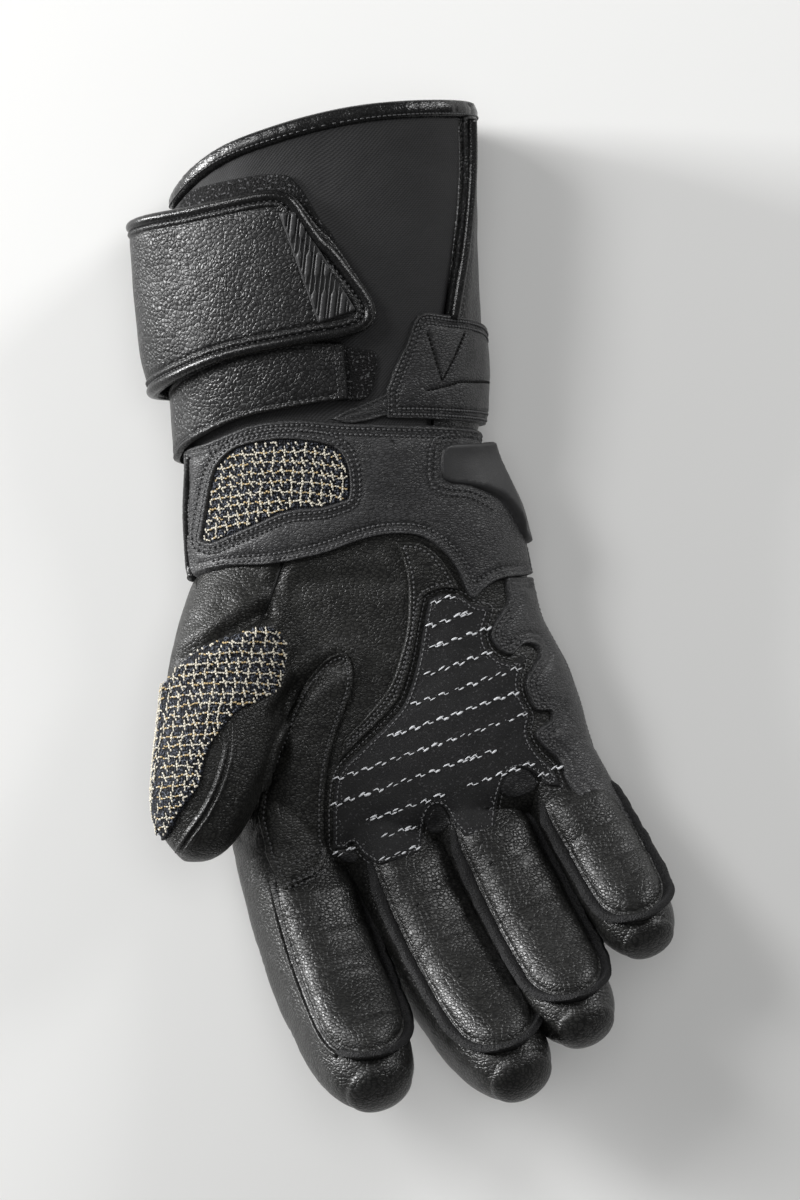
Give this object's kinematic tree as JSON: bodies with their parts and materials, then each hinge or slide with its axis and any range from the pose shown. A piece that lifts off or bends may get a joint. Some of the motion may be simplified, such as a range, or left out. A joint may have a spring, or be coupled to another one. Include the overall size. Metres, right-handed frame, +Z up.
{
  "type": "leather motorcycle glove, right hand",
  "caption": "Right-hand leather gauntlet glove lying palm up, with hollow fingers, thumb and cuff, sewn palm panels and two wrap-round straps.",
  "frame": {"origin": "the middle of the glove's box in plan, on the surface that it lies on", "axes": "+Z up out of the palm, +Y from the fingertips to the mouth of the cuff, +X towards the little finger"},
  "size_m": [0.1634, 0.3004, 0.0682],
  "materials": {
    "smooth_leather": "black smooth-grain leather, semi-gloss",
    "grey_leather": "charcoal fine-grain leather, matte",
    "strap_leather": "black pebbled leather, satin",
    "cuff_cloth": "black stretch twill, matte",
    "loop_tape": "black loop pile, matte",
    "woven_cloth": "cream and black aramid weave, matte",
    "grip_suede": "black suede printed with silver dashes",
    "moulded_rubber": "dark grey moulded rubber, satin"
  },
  "bodies": {
    "root": {"palm_shell": "smooth_leather", "index_finger": "smooth_leather", "middle_finger": "smooth_leather", "ring_finger": "smooth_leather", "little_finger": "smooth_leather", "thumb": "smooth_leather", "index_front": "smooth_leather", "middle_front": "smooth_leather", "ring_front": "smooth_leather", "little_front": "smooth_leather", "palm_channel_strip": "smooth_leather", "thumb_web_patch": "smooth_leather", "heel_panel": "grey_leather", "side_panel": "grey_leather", "anchor_tab": "grey_leather", "cuff_back_side": "strap_leather", "mouth_binding": "strap_leather", "cuff_piping": "strap_leather", "closure_strap": "strap_leather", "strap_rolled_edge": "strap_leather", "wrist_strap": "strap_leather", "cuff_palm_side": "cuff_cloth", "upper_loop_patch": "loop_tape", "lower_loop_patch": "loop_tape", "heel_woven_patch": "woven_cloth", "thumb_woven_patch": "woven_cloth", "palm_grip_panel": "grip_suede", "palm_slider": "moulded_rubber", "strap_ribbed_insert": "moulded_rubber"}
  },
  "joints": []
}
